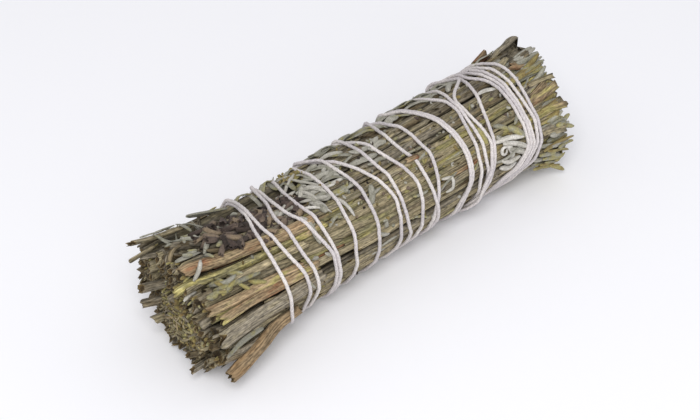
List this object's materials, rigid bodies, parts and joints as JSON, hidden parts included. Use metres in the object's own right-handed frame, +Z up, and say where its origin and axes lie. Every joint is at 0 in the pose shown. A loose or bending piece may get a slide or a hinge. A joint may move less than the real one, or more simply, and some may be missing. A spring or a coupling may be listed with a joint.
{
  "type": "lavender smudge stick",
  "caption": "Bundle of dried lavender stems and leaves laid side by side and wound along its whole length with one white cotton thread. It lies on its side.",
  "frame": {"origin": "on the surface that the stick rests on, under the middle of its box", "axes": "+X along the stick from its near cut ends to its far ones, +Z up"},
  "size_m": [0.11, 0.0356, 0.0274],
  "materials": {
    "lavender_stem": "dry matt stem skin, grooved along its length",
    "lavender_bark": "dry matt bark",
    "lavender_leaf": "dry matt leaf with short pale hairs",
    "cotton_thread": "matt plied cotton"
  },
  "bodies": {
    "root": {"stem_01": "lavender_stem", "stem_02": "lavender_stem", "stem_03": "lavender_stem", "stem_04": "lavender_stem", "stem_05": "lavender_stem", "stem_06": "lavender_stem", "stem_07": "lavender_stem", "stem_08": "lavender_stem", "stem_09": "lavender_stem", "stem_10": "lavender_stem", "stem_11": "lavender_stem", "stem_12": "lavender_stem", "stem_13": "lavender_stem", "stem_14": "lavender_stem", "stem_15": "lavender_stem", "stem_16": "lavender_stem", "stem_17": "lavender_stem", "stem_18": "lavender_stem", "stem_19": "lavender_stem", "stem_20": "lavender_stem", "stem_21": "lavender_stem", "stem_22": "lavender_stem", "stem_23": "lavender_stem", "stem_24": "lavender_stem", "stem_25": "lavender_stem", "stem_26": "lavender_stem", "stem_27": "lavender_stem", "stem_28": "lavender_stem", "stem_29": "lavender_stem", "stem_30": "lavender_stem", "stem_31": "lavender_stem", "stem_32": "lavender_stem", "stem_33": "lavender_stem", "stem_34": "lavender_stem", "stem_35": "lavender_stem", "stem_36": "lavender_stem", "stem_37": "lavender_stem", "stem_38": "lavender_stem", "stem_39": "lavender_stem", "stem_40": "lavender_stem", "stem_41": "lavender_stem", "stem_42": "lavender_stem", "stem_43": "lavender_stem", "stem_44": "lavender_stem", "bark_strip": "lavender_bark", "leaf_01": "lavender_leaf", "leaf_02": "lavender_leaf", "leaf_03": "lavender_leaf", "leaf_04": "lavender_leaf", "leaf_05": "lavender_leaf", "leaf_06": "lavender_leaf", "leaf_07": "lavender_leaf", "leaf_08": "lavender_leaf", "binding_thread": "cotton_thread"}
  },
  "joints": []
}
